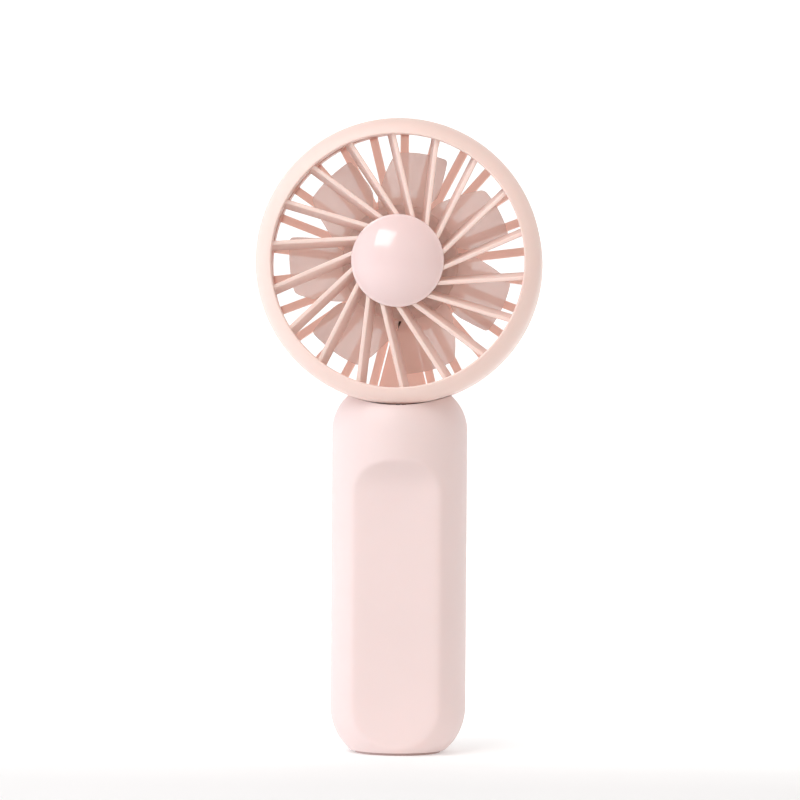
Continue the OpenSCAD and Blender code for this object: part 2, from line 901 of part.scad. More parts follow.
// Extrudes a drawing made in x and z towards +Y, from one y to another
module to_back(y_low, y_high) {
    translate([0, y_high, 0]) rotate([90, 0, 0]) linear_extrude(y_high - y_low) children();
}

module handle_rear_shell() {
    wall_y = flat_d - shell_wall;
    color(shell_pink) difference() {
        union() {
            intersection() {
                handle_walls();
                half_space(1);
            }
            intersection() {
                neck_shelf();
                half_space(1);
            }
            shell_lip();
            base_boss(1);
            for (x = [-1, 1] * board_screw_x, z = board_screw_z)
                to_back(board_back_y, wall_y + bite) translate([x, z]) circle(board_post_r);
        }
        base_screw_hole(1);
        for (x = [-1, 1] * board_screw_x, z = board_screw_z)
            to_back(board_y, wall_y - 0.5) translate([x, z]) circle(board_screw_r);
        translate([0, wire_hole_y, shoulder_z + 2]) cylinder(r = wire_hole_r, h = far);
        to_back(wall_y - 1, flat_d + 5) translate([0, button_z]) circle(button_r + button_gap);
        to_back(wall_y - 1, flat_d + 5) translate([0, usb_z]) usb_outline(0.2);
        for (i = [0 : led_count - 1]) to_back(wall_y - 1, flat_d + 5)
            translate([(i - (led_count - 1) / 2) * led_pitch, led_z]) circle(guide_pin_r + guide_gap);
    }
}

// Plate that closes the base and is held between the shells
module base_plate() {
    color([0.86, 0.86, 0.84]) difference() {
        union() {
            translate([0, 0, foot_t]) cylinder(r = base_hole_r - 0.1, h = base_plate_top_z - foot_t);
            translate([0, 0, shell_floor_z]) cylinder(r = base_flange_r, h = base_plate_top_z - shell_floor_z);
        }
        for (side = [-1, 1]) translate([0, side * base_screw_y, 0]) {
            cylinder(r = screw_r + 0.1, h = far);
            cylinder(r = head_screw_r + 0.1, h = foot_t + 0.2 + head_screw_t);
        }
    }
}

module base_screws() {
    seat_z = foot_t + 0.2 + head_screw_t;
    color(steel) for (side = [-1, 1]) translate([0, side * base_screw_y, seat_z])
        screw(screw_r, base_screw_tip_z - seat_z, head_screw_r, head_screw_t);
}

module foot_pad() {
    color([0.80, 0.72, 0.70]) cylinder(r = foot_r, h = foot_t);
}

// ======== Battery ========

module battery_cell() {
    nub_r = 3;
    color([0.30, 0.48, 0.70]) translate([0, cell_y, cell_z]) difference() {
        cylinder(r = cell_r, h = cell_h);
        translate([0, 0, cell_h - 0.4]) difference() {
            cylinder(r = cell_r - 1.2, h = 1);
            translate([0, 0, -1]) cylinder(r = nub_r, h = 3);
        }
    }
}

module battery_tabs() {
    color([0.80, 0.80, 0.78]) for (z = [cell_z - tab_t, cell_z + cell_h])
        translate([-tab_w / 2, cell_y - tab_l / 2 + 3, z]) cube([tab_w, tab_l - 3, tab_t]);
}

module battery_foam() {
    y = -flat_d + shell_wall + 0.1;
    color(dark) translate([-foam_w / 2, y, foam_z]) difference() {
        cube([foam_w, foam_t + 2.4, foam_h - 1]);
        translate([foam_w / 2, cell_y - y, -1]) cylinder(r = cell_r, h = foam_h + 2);
    }
}

// ======== Circuit board ========

module main_board() {
    color(board_green) difference() {
        translate([-board_w / 2, board_y, board_z]) cube([board_w, board_t, board_h]);
        for (x = [-1, 1] * board_screw_x, z = board_screw_z)
            to_back(board_y - 1, board_back_y + 1) translate([x, z]) circle(board_screw_r + 0.1);
    }
}

module board_screws() {
    color(steel) for (x = [-1, 1] * board_screw_x, z = board_screw_z)
        translate([x, board_y, z]) rotate([-90, 0, 0])
            screw(board_screw_r, 5.2, board_head_r, board_head_t);
}

// Charger chip, motor driver chip and three capacitors
module board_chips() {
    color(dark) {
        translate([-7, board_back_y, 40]) cube([5, 1.5, 4]);
        translate([2.5, board_back_y, 44]) cube([3, 1, 3]);
    }
    color([0.75, 0.66, 0.50]) for (z = [33, 36, 39]) translate([3.5, board_back_y, z]) cube([2, 1.2, 1.25]);
}

module board_inductor() {
    color([0.30, 0.30, 0.31]) translate([-6.5, board_back_y, 33]) difference() {
        cube([4.5, 2.5, 4.5]);
        translate([2.25, 2.2, 2.25]) rotate([-90, 0, 0]) cylinder(r = 1.6, h = 1);
    }
}

module usb_c_socket() {
    color(steel) difference() {
        to_back(board_back_y, usb_mouth_y) translate([0, usb_z]) usb_outline(0);
        to_back(board_back_y + usb_floor_t, usb_mouth_y + 1) translate([0, usb_z]) usb_outline(-usb_wall);
    }
}

module usb_c_tongue() {
    y = board_back_y + usb_floor_t;
    color(dark) translate([-usb_tongue_w / 2, y, usb_z - usb_tongue_t / 2])
        cube([usb_tongue_w, usb_mouth_y - y - 0.8, usb_tongue_t]);
}

module switch_body() {
    color(dark) difference() {
        translate([-switch_size / 2, board_back_y, button_z - switch_size / 2])
            cube([switch_size, switch_top_y - board_back_y, switch_size]);
        to_back(switch_top_y - plunger_well, switch_top_y + 1)
            translate([0, button_z]) circle(plunger_r + plunger_gap);
    }
}

module switch_plunger() {
    color([0.75, 0.75, 0.72]) to_back(switch_top_y - plunger_well + 0.7, plunger_top_y)
        translate([0, button_z]) circle(plunger_r);
}

// Button cap with the flange that keeps it in the shell
module power_button() {
    top = flat_d + button_proud - plunger_top_y;
    color([0.95, 0.84, 0.84]) translate([0, plunger_top_y, button_z]) rotate([-90, 0, 0])
        rotate_extrude() {
            square([button_flange_r, button_flange_t]);
            square([button_r, top - button_round]);
            square([button_r - button_round, top]);
            translate([button_r - button_round, top - button_round]) circle(button_round);
        }
}

module indicator_leds() {
    color([0.95, 0.95, 0.85]) for (i = [0 : led_count - 1])
        translate([(i - (led_count - 1) / 2) * led_pitch - led_size.x / 2, board_back_y, led_z - led_size.z / 2])
            cube(led_size);
}

// Clear bar behind the shell with one pin for each light
module light_guide() {
    color([0.92, 0.95, 0.97]) {
        translate([-guide_bar.x / 2, guide_y, led_z - guide_bar.z / 2]) cube(guide_bar);
        for (i = [0 : led_count - 1]) to_back(guide_y + 0.5, flat_d)
            translate([(i - (led_count - 1) / 2) * led_pitch, led_z]) circle(guide_pin_r);
    }
}

// ======== Wires ========

module battery_wire_red() {
    color("firebrick") wire(plus_wire_route);
}

module battery_wire_black() {
    color(dark) wire(minus_wire_route);
}

module motor_wire(x) {
    wire([for (p = motor_wire_route) [x, p[0], p[1]]]);
}

module motor_wire_red() {
    color("firebrick") motor_wire(0.9);
}

module motor_wire_black() {
    color(dark) motor_wire(-0.9);
}

front_grille();
dome_cap();
drum_housing();
rear_grille();
rear_screws();
duct_cover();
motor_mount();
motor_mount_screws();
rear_bush();
front_bush();
stator_core();
stator_windings();
motor_board();
motor_shaft();
shaft_clip();
magnet_ring();
rotor_cup();
impeller();
neck_plate();
neck_screws();
handle_front_shell();
handle_rear_shell();
base_plate();
base_screws();
foot_pad();
battery_cell();
battery_tabs();
battery_foam();
main_board();
board_screws();
board_chips();
board_inductor();
usb_c_socket();
usb_c_tongue();
switch_body();
switch_plunger();
power_button();
indicator_leds();
light_guide();
battery_wire_red();
battery_wire_black();
motor_wire_red();
motor_wire_black();
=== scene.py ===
"""Looks of a handheld electric fan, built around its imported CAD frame.

Shapes are drawn in millimetres and stored in metres, +Z up, the grille facing -Y.
Inside the head, w is the distance forward from the handle's axis, along -Y.
"""
import math

import bmesh
import bpy
import numpy as np
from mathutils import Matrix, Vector


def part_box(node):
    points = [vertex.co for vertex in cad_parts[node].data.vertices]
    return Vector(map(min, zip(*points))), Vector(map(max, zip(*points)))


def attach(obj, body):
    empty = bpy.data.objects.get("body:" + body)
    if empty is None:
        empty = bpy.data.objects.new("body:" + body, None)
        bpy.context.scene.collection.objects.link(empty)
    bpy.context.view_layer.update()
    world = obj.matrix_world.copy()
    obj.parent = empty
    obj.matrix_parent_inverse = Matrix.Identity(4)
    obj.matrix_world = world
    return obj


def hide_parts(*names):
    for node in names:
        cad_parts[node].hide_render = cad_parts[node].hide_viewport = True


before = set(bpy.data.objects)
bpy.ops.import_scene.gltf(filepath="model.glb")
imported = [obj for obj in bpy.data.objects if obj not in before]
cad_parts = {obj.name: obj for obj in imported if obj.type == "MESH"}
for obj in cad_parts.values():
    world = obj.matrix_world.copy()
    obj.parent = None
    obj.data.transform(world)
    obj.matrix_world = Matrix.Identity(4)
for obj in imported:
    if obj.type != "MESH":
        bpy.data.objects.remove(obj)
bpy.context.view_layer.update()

MM = 0.001
ROOT = "fan_body"
ROTOR = "rotor"


def mm_box(node):
    """Lowest and highest corner of a CAD node, in millimetres."""
    low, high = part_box(node)
    return low / MM, high / MM


# ---- Driving sizes, read from the frame where the frame holds them ----
ring_low, ring_high = mm_box("front_grille")
HEAD_R = (ring_high.x - ring_low.x) / 2
HEAD_Z = (ring_high.z + ring_low.z) / 2
BACK_W = mm_box("rear_grille")[1].y
DRUM_FRONT_W = 8.0
DRUM_BACK_W = -11.5
DRUM_IN_R = 39.3
OPENING_R = HEAD_R - 5
LIP_W = 17.5
FLARE_R = 38.4
RING_ROUND = 6.5
RING_TOP_W = 21.0
BACK_ROUND = 6.0
DOME_R = mm_box("dome_cap")[1].x
DOME_TOP_W = -mm_box("dome_cap")[0].y
DOME_W = 19.3

HANDLE_R = mm_box("handle_front_shell")[1].x
FLAT_D = 15.5
FLAT_TOP_Z = 76.5
SCOOP_R = 12.9
SHOULDER_Z = 95.0
SHOULDER_R = 13.7
HEEL_Z = 13.6
HEEL_R = 17.0
WALL = 1.8
FOOT_T = mm_box("foot_pad")[1].z
FLOOR_Z = 2.5
BASE_HOLE_R = 11.4
FIT_GAP = 0.15
# Half of the seam between the handle's shells, and how softly its flats meet its round sides
SEAM = 0.05
EDGE_SOFT = 0.35
COLUMNS = 240


# ======== Mesh tools ========

def make_object(name, verts, faces, smooth_angle=35):
    """A mesh object from points in millimetres. Edges sharper than smooth_angle stay sharp."""
    mesh = bpy.data.meshes.new(name)
    mesh.from_pydata([tuple(c * MM for c in v) for v in verts], [], faces)
    obj = bpy.data.objects.new(name, mesh)
    bpy.context.scene.collection.objects.link(obj)
    clean(obj, smooth_angle)
    return obj


def clean(obj, smooth_angle=35):
    """Welds doubles, turns the faces outwards and sets the shading."""
    bm = bmesh.new()
    bm.from_mesh(obj.data)
    bmesh.ops.remove_doubles(bm, verts=bm.verts, dist=1e-7)
    bmesh.ops.recalc_face_normals(bm, faces=bm.faces)
    bm.to_mesh(obj.data)
    bm.free()
    shade(obj, smooth_angle)


def shade(obj, smooth_angle):
    obj.data.polygons.foreach_set("use_smooth", [True] * len(obj.data.polygons))
    obj.data.set_sharp_from_angle(angle=math.radians(smooth_angle))
    obj.data.update()


def arc(cx, cy, r, start, end, steps):
    """Points on an arc, angles in degrees."""
    angles = np.radians(np.linspace(start, end, steps + 1))
    return [(cx + r * math.cos(a), cy + r * math.sin(a)) for a in angles]


def head_point(x, up, w):
    """A point of the head: x to the right, up from the fan's axis, w forward."""
    return (x, -w, HEAD_Z + up)


def revolve(profile, place, steps, loop):
    """Turns a profile of (radius, depth) about an axis. loop joins its last point to its first."""
    verts, rows = [], []
    for r, d in profile:
        if r < 1e-6:
            rows.append([len(verts)] * steps)
            verts.append(place(0, 0, d))
            continue
        rows.append(list(range(len(verts), len(verts) + steps)))
        for k in range(steps):
            a = 2 * math.pi * k / steps
            verts.append(place(r * math.cos(a), r * math.sin(a), d))
    faces = []
    pairs = list(zip(rows, rows[1:])) + ([(rows[-1], rows[0])] if loop else [])
    for low, high in pairs:
        for k in range(steps):
            n = (k + 1) % steps
            corners = list(dict.fromkeys([low[k], low[n], high[n], high[k]]))
            if len(corners) > 2:
                faces.append(corners)
    return verts, faces


def head_lathe(name, profile, steps=192, loop=True, smooth_angle=35):
    return make_object(name, *revolve(profile, head_point, steps, loop), smooth_angle)


def join(name, pieces):
    """Joins meshes into one object."""
    bm = bmesh.new()
    for p in pieces:
        bm.from_mesh(p.data)
    mesh = bpy.data.meshes.new(name)
    bm.to_mesh(mesh)
    bm.free()
    for p in pieces:
        bpy.data.objects.remove(p)
    obj = bpy.data.objects.new(name, mesh)
    bpy.context.scene.collection.objects.link(obj)
    return obj


def combine(obj, cutter, operation):
    """Applies a boolean and removes the cutter."""
    step = obj.modifiers.new("combine", "BOOLEAN")
    step.operation = operation
    step.solver = "EXACT"
    step.object = cutter
    apply_modifiers(obj)
    bpy.data.objects.remove(cutter)
    return obj


def apply_modifiers(obj):
    graph = bpy.context.evaluated_depsgraph_get()
    mesh = bpy.data.meshes.new_from_object(obj.evaluated_get(graph))
    obj.modifiers.clear()
    obj.data = mesh


def soften(obj, width, angle=40):
    """Rounds a mesh's sharp edges."""
    step = obj.modifiers.new("soften", "BEVEL")
    step.width = width * MM
    step.segments = 3
    step.limit_method = "ANGLE"
    step.angle_limit = math.radians(angle)
    apply_modifiers(obj)


def box_object(low, high):
    x0, y0, z0 = low
    x1, y1, z1 = high
    verts = [(x, y, z) for z in (z0, z1) for y in (y0, y1) for x in (x0, x1)]
    faces = [(0, 2, 3, 1), (4, 5, 7, 6), (0, 1, 5, 4), (2, 6, 7, 3), (0, 4, 6, 2), (1, 3, 7, 5)]
    return make_object("box", verts, faces)


def prism_object(outline, y_low, y_high):
    """A drawing in x and z, made solid from one y to another."""
    n = len(outline)
    verts = [(x, y, z) for y in (y_low, y_high) for x, z in outline]
    faces = [list(range(n)), list(range(2 * n - 1, n - 1, -1))]
    faces += [(k, (k + 1) % n, n + (k + 1) % n, n + k) for k in range(n)]
    return make_object("prism", verts, faces)


# ======== Materials ========

def srgb(r, g, b):
    """A colour given in 8-bit screen values, as linear light."""
    def linear(c):
        c /= 255
        return c / 12.92 if c <= 0.04045 else ((c + 0.055) / 1.055) ** 2.4
    return (linear(r), linear(g), linear(b), 1.0)


def new_material(name):
    mat = bpy.data.materials.new(name)
    mat.use_nodes = True
    return mat, mat.node_tree.nodes, mat.node_tree.links, mat.node_tree.nodes["Principled BSDF"]


def noise_node(nodes, links, scale, detail):
    """Noise in the object's own coordinates, scale in cycles per metre."""
    place = nodes.new("ShaderNodeTexCoord")
    noise = nodes.new("ShaderNodeTexNoise")
    noise.inputs["Scale"].default_value = scale
    noise.inputs["Detail"].default_value = detail
    links.new(place.outputs["Object"], noise.inputs["Vector"])
    return noise


def spread(nodes, links, source, low, high):
    """Maps a noise's middle range to low..high."""
    remap = nodes.new("ShaderNodeMapRange")
    remap.inputs["From Min"].default_value = 0.3
    remap.inputs["From Max"].default_value = 0.7
    remap.inputs["To Min"].default_value = low
    remap.inputs["To Max"].default_value = high
    links.new(source, remap.inputs["Value"])
    return remap.outputs["Result"]


def ramp(nodes, links, source, start, end, low, high):
    """A smooth step from low to high between two values of the source."""
    step = nodes.new("ShaderNodeMapRange")
    step.interpolation_type = "SMOOTHSTEP"
    step.inputs["From Min"].default_value = start
    step.inputs["From Max"].default_value = end
    step.inputs["To Min"].default_value = low
    step.inputs["To Max"].default_value = high
    links.new(source, step.inputs["Value"])
    return step.outputs["Result"]


def tint(nodes, links, factor, dark, light):
    mix = nodes.new("ShaderNodeMix")
    mix.data_type = "RGBA"
    mix.inputs[6].default_value = dark
    mix.inputs[7].default_value = light
    links.new(factor, mix.inputs["Factor"])
    return mix.outputs[2]


def bump(nodes, links, height, shader, distance, strength):
    node = nodes.new("ShaderNodeBump")
    node.inputs["Distance"].default_value = distance
    node.inputs["Strength"].default_value = strength
    links.new(height, node.inputs["Height"])
    links.new(node.outputs["Normal"], shader.inputs["Normal"])


def plastic(name, colour, rough=0.45, grain=2600, grain_depth=0.00002, grain_strength=0.25,
            glow=0.0, coat=0.0, variation=0.03):
    """Moulded plastic: faint colour drift, uneven gloss and a fine spark-eroded grain."""
    mat, nodes, links, shader = new_material(name)
    drift = noise_node(nodes, links, 35, 3)
    dark = tuple(c * (1 - variation) for c in colour[:3]) + (1.0,)
    links.new(tint(nodes, links, spread(nodes, links, drift.outputs["Fac"], 0, 1), dark, colour),
              shader.inputs["Base Color"])
    gloss = noise_node(nodes, links, 400, 2)
    links.new(spread(nodes, links, gloss.outputs["Fac"], rough - 0.04, rough + 0.04),
              shader.inputs["Roughness"])
    fine = noise_node(nodes, links, grain, 2)
    bump(nodes, links, fine.outputs["Fac"], shader, grain_depth, grain_strength)
    if glow:
        shader.inputs["Subsurface Weight"].default_value = glow
        shader.inputs["Subsurface Radius"].default_value = (1.0, 0.45, 0.35)
        shader.inputs["Subsurface Scale"].default_value = 0.002
    if coat:
        shader.inputs["Coat Weight"].default_value = coat
        shader.inputs["Coat Roughness"].default_value = 0.04
    return mat


def let_light_through(mat, colour, share):
    """Thin moulded plastic passes part of the light that falls on its other side."""
    nodes, links = mat.node_tree.nodes, mat.node_tree.links
    shader = nodes["Principled BSDF"]
    thin = nodes.new("ShaderNodeBsdfTranslucent")
    thin.inputs["Color"].default_value = colour
    mix = nodes.new("ShaderNodeMixShader")
    mix.inputs["Fac"].default_value = share
    links.new(shader.outputs["BSDF"], mix.inputs[1])
    links.new(thin.outputs["BSDF"], mix.inputs[2])
    links.new(mix.outputs["Shader"], nodes["Material Output"].inputs["Surface"])


# Radii and depths, in metres, over which the painted light inside the cage fades out
PAINTED_GLOW_R = (0.0380, 0.0392)
PAINTED_GLOW_Y = (0.0150, 0.0178)


def painted_cage_glow(mat, colour, strength):
    """Painted light: a weak emission on what faces into the cage, standing in for the light that the thin
    pink walls scatter there.
    It fades out before the ring, over PAINTED_GLOW_R, and before the backs of the ribs, over
    PAINTED_GLOW_Y."""
    nodes, links = mat.node_tree.nodes, mat.node_tree.links
    shader = nodes["Principled BSDF"]
    place = nodes.new("ShaderNodeTexCoord")
    from_axis = nodes.new("ShaderNodeVectorMath")
    from_axis.operation = "SUBTRACT"
    from_axis.inputs[1].default_value = (0, 0, HEAD_Z * MM)
    flat = nodes.new("ShaderNodeVectorMath")
    flat.operation = "MULTIPLY"
    flat.inputs[1].default_value = (1, 0, 1)
    radius = nodes.new("ShaderNodeVectorMath")
    radius.operation = "LENGTH"
    links.new(place.outputs["Object"], from_axis.inputs[0])
    links.new(from_axis.outputs["Vector"], flat.inputs[0])
    links.new(flat.outputs["Vector"], radius.inputs[0])
    inside = ramp(nodes, links, radius.outputs["Value"], *PAINTED_GLOW_R, strength, 0.0)
    split = nodes.new("ShaderNodeSeparateXYZ")
    links.new(place.outputs["Object"], split.inputs["Vector"])
    before_back = ramp(nodes, links, split.outputs["Y"], *PAINTED_GLOW_Y, 1.0, 0.0)
    product = nodes.new("ShaderNodeMath")
    product.operation = "MULTIPLY"
    links.new(inside, product.inputs[0])
    links.new(before_back, product.inputs[1])
    shader.inputs["Emission Color"].default_value = colour
    links.new(product.outputs["Value"], shader.inputs["Emission Strength"])


def metal(name, colour, rough, streak=900):
    """Worked metal with fine uneven gloss."""
    mat, nodes, links, shader = new_material(name)
    drift = noise_node(nodes, links, streak, 3)
    dark = tuple(c * 0.86 for c in colour[:3]) + (1.0,)
    links.new(tint(nodes, links, spread(nodes, links, drift.outputs["Fac"], 0, 1), dark, colour),
              shader.inputs["Base Color"])
    links.new(spread(nodes, links, drift.outputs["Fac"], rough - 0.06, rough + 0.08),
              shader.inputs["Roughness"])
    shader.inputs["Metallic"].default_value = 1.0
    fine = noise_node(nodes, links, streak * 4, 1)
    bump(nodes, links, fine.outputs["Fac"], shader, 0.00001, 0.2)
    return mat


def winding_material(name, colour):
    """Enamelled copper wire: bands across the coil."""
    mat, nodes, links, shader = new_material(name)
    place = nodes.new("ShaderNodeTexCoord")
    wave = nodes.new("ShaderNodeTexWave")
    wave.bands_direction = "Z"
    wave.inputs["Scale"].default_value = 900
    wave.inputs["Distortion"].default_value = 0.6
    links.new(place.outputs["Object"], wave.inputs["Vector"])
    dark = tuple(c * 0.5 for c in colour[:3]) + (1.0,)
    links.new(tint(nodes, links, wave.outputs["Fac"], dark, colour), shader.inputs["Base Color"])
    shader.inputs["Metallic"].default_value = 0.9
    shader.inputs["Roughness"].default_value = 0.32
    bump(nodes, links, wave.outputs["Fac"], shader, 0.0001, 0.6)
    return mat


def board_material(name, colour):
    """Solder mask over faint straight copper tracks."""
    mat, nodes, links, shader = new_material(name)
    place = nodes.new("ShaderNodeTexCoord")
    cells = nodes.new("ShaderNodeTexVoronoi")
    cells.distance = "CHEBYCHEV"
    cells.inputs["Scale"].default_value = 420
    links.new(place.outputs["Object"], cells.inputs["Vector"])
    light = tuple(min(1, c * 1.5) for c in colour[:3]) + (1.0,)
    links.new(tint(nodes, links, cells.outputs["Distance"], colour, light), shader.inputs["Base Color"])
    shader.inputs["Roughness"].default_value = 0.35
    bump(nodes, links, cells.outputs["Distance"], shader, 0.00002, 0.3)
    return mat


SHELL_PINK = srgb(232, 211, 208)
GRILLE_PINK = srgb(239, 213, 204)
DOME_PINK = srgb(238, 212, 210)
BLADE_PINK = srgb(244, 228, 221)
BLADE_ALPHA = 0.3

shell_mat = plastic("shell_plastic", SHELL_PINK, rough=0.42, glow=0.12)
grille_mat = plastic("grille_plastic", GRILLE_PINK, rough=0.42, glow=0.15)
rear_mat = plastic("rear_grille_plastic", GRILLE_PINK, rough=0.42, glow=0.15)
# Painted light: a peach emission on the rear grille's inward faces, standing in for light scattered
# inside the cage
painted_cage_glow(rear_mat, (1.0, 0.74, 0.64, 1), 0.27)
let_light_through(rear_mat, srgb(255, 226, 216), 0.2)
dome_mat = plastic("dome_plastic", DOME_PINK, rough=0.2, grain_strength=0.04, glow=0.1, coat=0.8)
blade_mat = plastic("blade_plastic", BLADE_PINK, rough=0.38, grain_strength=0.1, glow=0.35)
let_light_through(blade_mat, srgb(253, 243, 239), 0.45)
blade_mat.node_tree.nodes["Principled BSDF"].inputs["Alpha"].default_value = BLADE_ALPHA
button_mat = plastic("button_plastic", srgb(235, 198, 196), rough=0.35, glow=0.1)
inner_mat = plastic("inner_plastic", srgb(222, 218, 212), rough=0.5)
foot_mat = plastic("foot_rubber", srgb(196, 170, 166), rough=0.8, grain=1800, grain_strength=0.6)
black_mat = plastic("black_plastic", srgb(38, 38, 40), rough=0.5)
lens_mat = plastic("lens_plastic", srgb(244, 240, 236), rough=0.18, grain_strength=0.05, glow=0.5)
foam_mat = plastic("foam", srgb(46, 46, 48), rough=0.95, grain=1500, grain_strength=1.0,
                   grain_depth=0.0002)
cell_mat = plastic("cell_wrap", srgb(96, 134, 176), rough=0.25, grain_strength=0.05, coat=0.4)
red_mat = plastic("red_wire", srgb(176, 34, 28), rough=0.4)
dark_wire_mat = plastic("black_wire", srgb(30, 30, 32), rough=0.4)
plunger_mat = plastic("plunger_plastic", srgb(200, 200, 194), rough=0.4)
steel_mat = metal("screw_steel", srgb(196, 197, 202), 0.3)
motor_mat = metal("motor_steel", srgb(178, 180, 186), 0.36)
magnet_mat = metal("magnet", srgb(66, 66, 70), 0.6)
bronze_mat = metal("bush_bronze", srgb(196, 156, 104), 0.45, streak=2400)
nickel_mat = metal("tab_nickel", srgb(206, 206, 204), 0.28)
copper_mat = winding_material("coil_copper", srgb(214, 128, 78))
board_mat = board_material("circuit_board", srgb(34, 96, 60))

NODE_MATERIALS = {
    shell_mat: ["handle_front_shell", "handle_rear_shell"],
    grille_mat: ["front_grille", "drum_housing"],
    rear_mat: ["rear_grille", "duct_cover"],
    dome_mat: ["dome_cap"],
    blade_mat: ["impeller"],
    button_mat: ["power_button"],
    inner_mat: ["neck_plate", "base_plate"],
    foot_mat: ["foot_pad"],
    black_mat: ["board_chips", "board_inductor", "usb_c_tongue", "switch_body"],
    plunger_mat: ["switch_plunger"],
    lens_mat: ["indicator_leds", "light_guide"],
    foam_mat: ["battery_foam"],
    cell_mat: ["battery_cell"],
    red_mat: ["battery_wire_red", "motor_wire_red"],
    dark_wire_mat: ["battery_wire_black", "motor_wire_black"],
    steel_mat: ["rear_screws", "motor_mount_screws", "neck_screws", "base_screws", "board_screws",
                "usb_c_socket"],
    motor_mat: ["motor_mount", "rotor_cup", "motor_shaft", "stator_core"],
    magnet_mat: ["magnet_ring", "shaft_clip"],
    bronze_mat: ["rear_bush", "front_bush"],
    nickel_mat: ["battery_tabs"],
    copper_mat: ["stator_windings"],
    board_mat: ["main_board", "motor_board"],
}


def paint(obj, mat):
    obj.data.materials.clear()
    obj.data.materials.append(mat)
    obj.data.polygons.foreach_set("material_index", [0] * len(obj.data.polygons))


def finish_piece(obj, mat, body, slot, *replaced):
    """Gives a new piece its material and its body, and hides the CAD nodes that it stands for. The finish
    name, slot, is not used.
    """
    paint(obj, mat)
    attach(obj, body)
    if replaced:
        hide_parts(*replaced)
    return obj


# ======== Handle ========

def side_radius(z, inset):
    """Radius of the handle's body of revolution at a height."""
    if z < HEEL_Z:
        inner, r, centre = HANDLE_R - HEEL_R, HEEL_R - inset, HEEL_Z
    elif z > SHOULDER_Z:
        inner, r, centre = HANDLE_R - SHOULDER_R, SHOULDER_R - inset, SHOULDER_Z
    else:
        return HANDLE_R - inset
    return inner + math.sqrt(max(r * r - (z - centre) ** 2, 0))


def flat_distance(z, inset):
    """Distance of the thumb face from the axis at a height, or None above its scoop."""
    if z <= FLAT_TOP_Z:
        return FLAT_D - inset
    rise = z - FLAT_TOP_Z
    reach = SCOOP_R + inset
    if rise >= reach:
        return None
    return FLAT_D + SCOOP_R - math.sqrt(reach * reach - rise * rise)


def handle_radius(angle, z, inset, soft):
    """Radius of the handle in a direction: the round side and a flat, blended over soft mm."""
    side = side_radius(z, inset)
    face = flat_distance(z, inset)
    away = abs(math.sin(angle))
    if face is None or away < 0.3:
        return side
    flat = face / away
    gap = (flat - side) / soft
    if gap > 30:
        return side
    if gap < -30:
        return flat
    return -soft * math.log(math.exp(-side / soft) + math.exp(-flat / soft))


def handle_levels(z_low, z_high):
    """Heights of the handle's rows: close together on curves, wide apart on straight stretches."""
    stops = [(z_low, 0.5), (6, 0.6), (HEEL_Z, 0.9), (20, 3.0), (FLAT_TOP_Z - 4, 1.2),
             (FLAT_TOP_Z, 0.6), (SHOULDER_Z - 4, 0.9), (z_high - 3, 0.5), (z_high, 1)]
    levels = []
    for (low, step), (high, _) in zip(stops, stops[1:]):
        count = max(1, round((high - low) / step))
        levels += [low + (high - low) * k / count for k in range(count)]
    return levels + [z_high]


def handle_solid(inset, z_low, z_high, columns, soft):
    """The handle's form as one closed solid, drawn in by inset."""
    verts, faces = [], []
    levels = handle_levels(z_low, z_high)
    for z in levels:
        for k in range(columns):
            a = 2 * math.pi * k / columns
            r = handle_radius(a, z, inset, soft)
            verts.append((r * math.cos(a), r * math.sin(a), z))
    for i in range(len(levels) - 1):
        for k in range(columns):
            n = (k + 1) % columns
            faces.append((i * columns + k, i * columns + n, (i + 1) * columns + n, (i + 1) * columns + k))
    last = (len(levels) - 1) * columns
    faces.append(list(range(columns - 1, -1, -1)))
    faces.append(list(range(last, last + columns)))
    return make_object("handle_solid", verts, faces)


def head_solid(gap, open_front=False):
    """The head's outer form grown by a gap, which the handle's saddle follows. The saddle is
    open in front of the ring's widest place, so that the whole ring shows."""
    profile = [(0, -BACK_W - gap)]
    profile += arc(HEAD_R - BACK_ROUND, -BACK_W + BACK_ROUND, BACK_ROUND + gap, -90, 0, 16)
    if open_front:
        profile += [(HEAD_R + gap, RING_TOP_W + gap)]
    else:
        profile += arc(HEAD_R - RING_ROUND, RING_TOP_W - RING_ROUND, RING_ROUND + gap, 0, 90, 16)
    profile += [(0, RING_TOP_W + gap)]
    return head_lathe("head_solid", profile, steps=256, loop=False)


def handle_shell(name, side):
    """One half of the handle: -1 is the front half and 1 the back half."""
    shell = handle_solid(0, FOOT_T, 108, COLUMNS, EDGE_SOFT)
    hollow = handle_solid(WALL, FLOOR_Z, 106, 96, EDGE_SOFT)
    combine(hollow, head_solid(WALL + FIT_GAP), "DIFFERENCE")
    combine(shell, hollow, "DIFFERENCE")
    combine(shell, head_solid(FIT_GAP, open_front=True), "DIFFERENCE")
    wide = 3 * HANDLE_R
    if side < 0:
        combine(shell, box_object((-wide, -SEAM, -wide), (wide, wide, 4 * wide)), "DIFFERENCE")
    else:
        combine(shell, box_object((-wide, -wide, -wide), (wide, SEAM, 4 * wide)), "DIFFERENCE")
    hole = make_object("hole", *revolve(
        [(0, -1), (BASE_HOLE_R, -1), (BASE_HOLE_R, FLOOR_Z + 1), (0, FLOOR_Z + 1)],
        lambda x, y, d: (x, y, d), 96, False))
    combine(shell, hole, "DIFFERENCE")
    shell.name = name
    return shell


def circle_outline(x, z, r, steps=64):
    return [(x + r * math.cos(2 * math.pi * k / steps), z + r * math.sin(2 * math.pi * k / steps))
            for k in range(steps)]


def slot_outline(z, width, height, steps=24):
    """Outline of a slot with round ends, centred on x = 0."""
    r = height / 2
    half = width / 2 - r
    return arc(half, z, r, -90, 90, steps) + arc(-half, z, r, 90, 270, steps)


